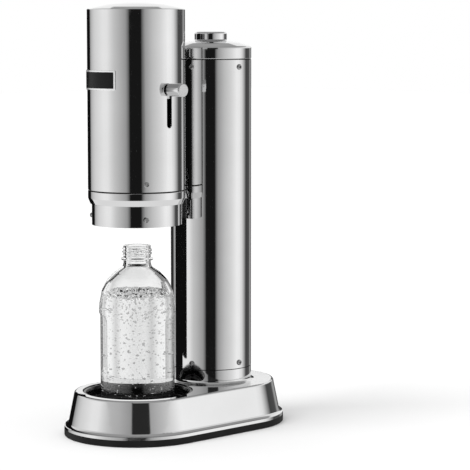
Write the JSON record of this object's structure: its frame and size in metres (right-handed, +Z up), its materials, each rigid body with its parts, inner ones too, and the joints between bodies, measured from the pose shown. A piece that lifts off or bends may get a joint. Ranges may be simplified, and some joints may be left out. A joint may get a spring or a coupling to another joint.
{
  "type": "soda carbonator",
  "caption": "Countertop soda carbonator: polished steel head with a side lever and a sliding shield over a glass bottle, a gas column behind, and a low base with a drip tray.",
  "frame": {"origin": "on the floor, at the middle of the base's outline", "axes": "+Z up, -Y is the front where the bottle stands, +X is the lever side"},
  "size_m": [0.155, 0.2636, 0.452],
  "materials": {
    "polished_steel": "mirror polished stainless steel",
    "screw_steel": "bright turned steel",
    "plain_steel": "satin steel",
    "black_rubber": "matt black rubber",
    "silicone": "soft grey silicone",
    "black_plastic": "satin black",
    "hose_plastic": "natural nylon",
    "cylinder_paint": "grey paint on steel",
    "brass": "turned brass",
    "badge_enamel": "black enamel",
    "clear_glass": "clear moulded glass"
  },
  "bodies": {
    "base": {"badge_field": "badge_enamel", "badge_frame": "polished_steel", "base_plate": "plain_steel", "base_screws": "screw_steel", "base_shell": "polished_steel", "block_bracket": "plain_steel", "block_screws": "screw_steel", "bridge_bracket": "polished_steel", "column_base_ring": "plain_steel", "column_screws_lower": "screw_steel", "column_screws_upper": "screw_steel", "column_top_ring": "plain_steel", "column_tube": "polished_steel", "cylinder_seat": "black_rubber", "cylinder_valve": "brass", "foot_ring": "black_rubber", "gas_cylinder": "cylinder_paint", "gas_hose": "hose_plastic", "gas_manifold": "brass", "gas_pipe": "plain_steel", "head_lid": "polished_steel", "head_lower_ring": "polished_steel", "head_screws": "screw_steel", "head_shell": "polished_steel", "lever_spring": "plain_steel", "shield_bush": "black_plastic", "tray_support": "black_plastic", "valve_block": "brass", "valve_pin": "plain_steel"},
    "lever": {"lever_knob": "polished_steel", "lever_stem": "plain_steel", "lever_band": "plain_steel", "lever_wedge": "plain_steel"},
    "plunger": {"plunger": "plain_steel"},
    "shield": {"shield_tube": "polished_steel", "shield_studs": "screw_steel", "nozzle_carrier": "black_plastic", "bottle_seal": "silicone", "nozzle_tube": "plain_steel", "nozzle_tip": "brass", "relief_valve": "brass", "hose_fitting": "brass"},
    "gasket": {"cap_gasket": "black_rubber"},
    "cap": {"column_cap": "polished_steel", "cap_knob": "polished_steel", "knob_screw": "screw_steel"},
    "tray": {"drip_tray": "black_plastic", "bottle_pad": "black_rubber"},
    "bottle": {"bottle_glass": "clear_glass"}
  },
  "joints": [
    {"name": "lever_slide", "type": "slide", "parent": "base", "child": "lever", "axis": [0, 0, 1], "range_m": [-0.0355, 0], "stiffness_N_per_m": 180, "springref_m": 0.012, "deforming": ["lever_spring"]},
    {"name": "plunger_slide", "type": "slide", "parent": "base", "child": "plunger", "axis": [0, 1, 0], "range_m": [0, 0.00355]},
    {"name": "shield_slide", "type": "slide", "parent": "base", "child": "shield", "axis": [0, 0, 1], "range_m": [-0.187, 0], "deforming": ["gas_hose"]},
    {"name": "cap_lift", "type": "slide", "parent": "base", "child": "gasket", "axis": [0, 0, 1], "range_m": [0, 0.03]},
    {"name": "cap_turn", "type": "hinge", "parent": "gasket", "child": "cap", "pos_m": [0, 0.05275, 0.392], "axis": [0, 0, 1], "range_deg": [-60, 0]},
    {"name": "tray_lift", "type": "slide", "parent": "base", "child": "tray", "axis": [0, 0, 1], "range_m": [0, 0.012]},
    {"name": "bottle_lift", "type": "slide", "parent": "tray", "child": "bottle", "axis": [0, 0, 1], "range_m": [0, 0.045]}
  ],
  "couplings": [
    {"joint": "plunger_slide", "follows": "lever_slide", "ratio": -0.1}
  ]
}
